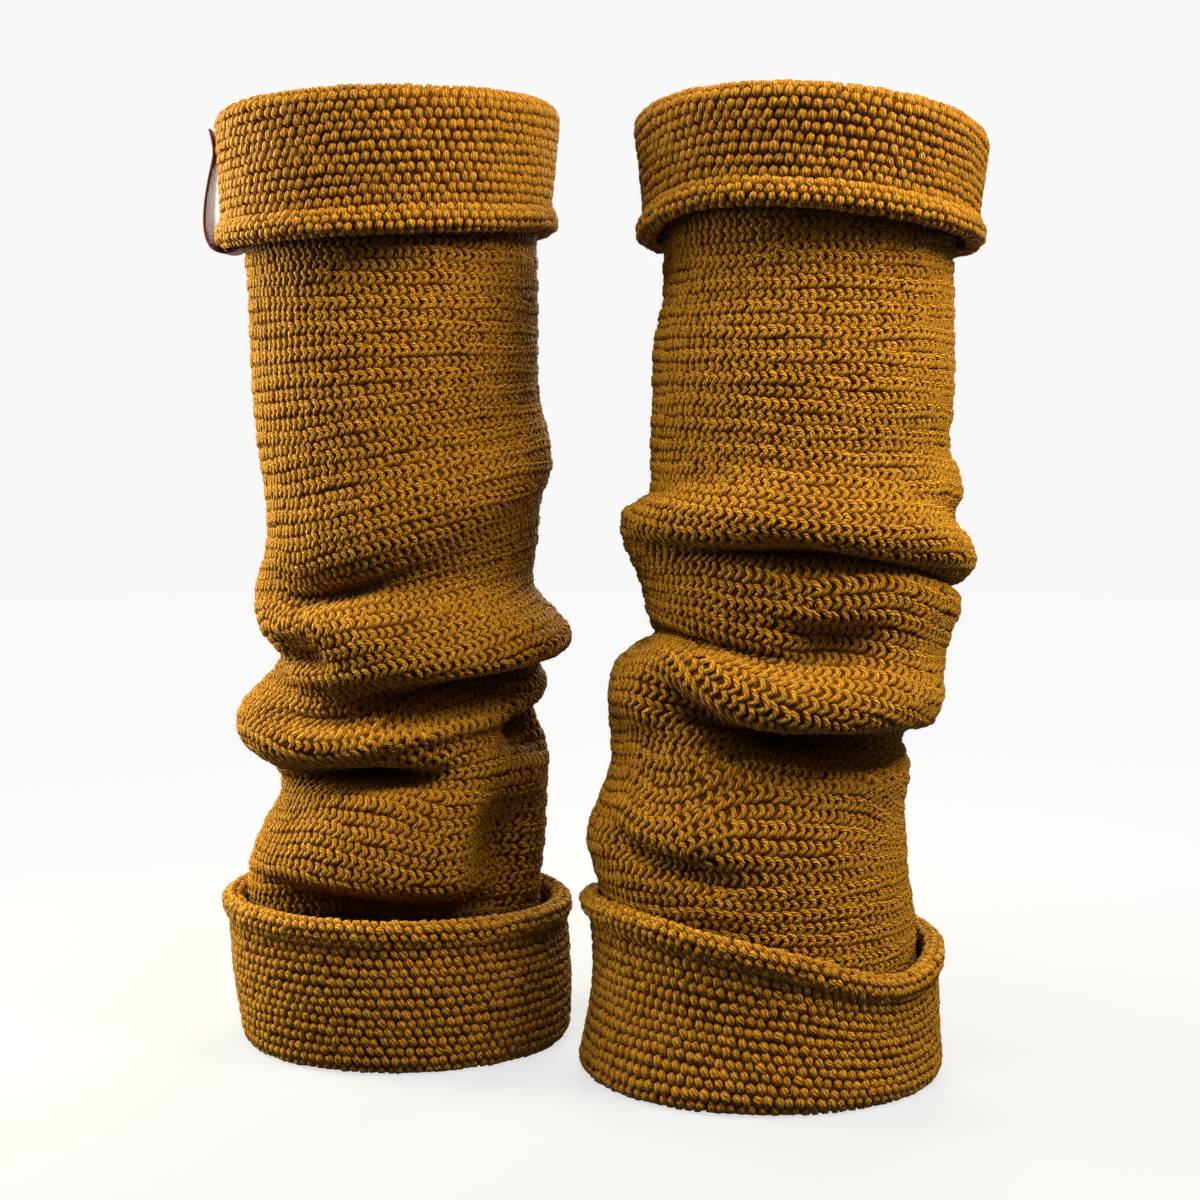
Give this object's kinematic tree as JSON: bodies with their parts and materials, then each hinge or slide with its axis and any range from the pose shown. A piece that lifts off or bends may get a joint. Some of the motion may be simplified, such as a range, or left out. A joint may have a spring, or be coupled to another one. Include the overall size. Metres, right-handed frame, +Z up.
{
  "type": "pair of slouched knitted leg warmers",
  "caption": "Knitted leg warmers standing open and upright, slouched in folds, with their ends turned back outside as cuffs, and a bare ribbon loop.",
  "frame": {"origin": "centre of the pair's bounding box, on the surface that it stands on", "axes": "+Z up along the tubes, +X to the viewer's right from the warmer with the ribbon loop to the other one, -Y towards the viewer"},
  "size_m": [0.3162, 0.1994, 0.3908],
  "materials": {
    "knit": "matte chunky wool knit, right side out",
    "knit_reverse": "matte chunky wool knit, wrong side out",
    "ribbon": "satin woven ribbon"
  },
  "bodies": {
    "root": {"left_leg": "knit", "left_top_cuff": "knit_reverse", "left_bottom_cuff": "knit_reverse", "left_label_loop": "ribbon", "right_leg": "knit", "right_top_cuff": "knit_reverse", "right_bottom_cuff": "knit_reverse"}
  },
  "joints": []
}
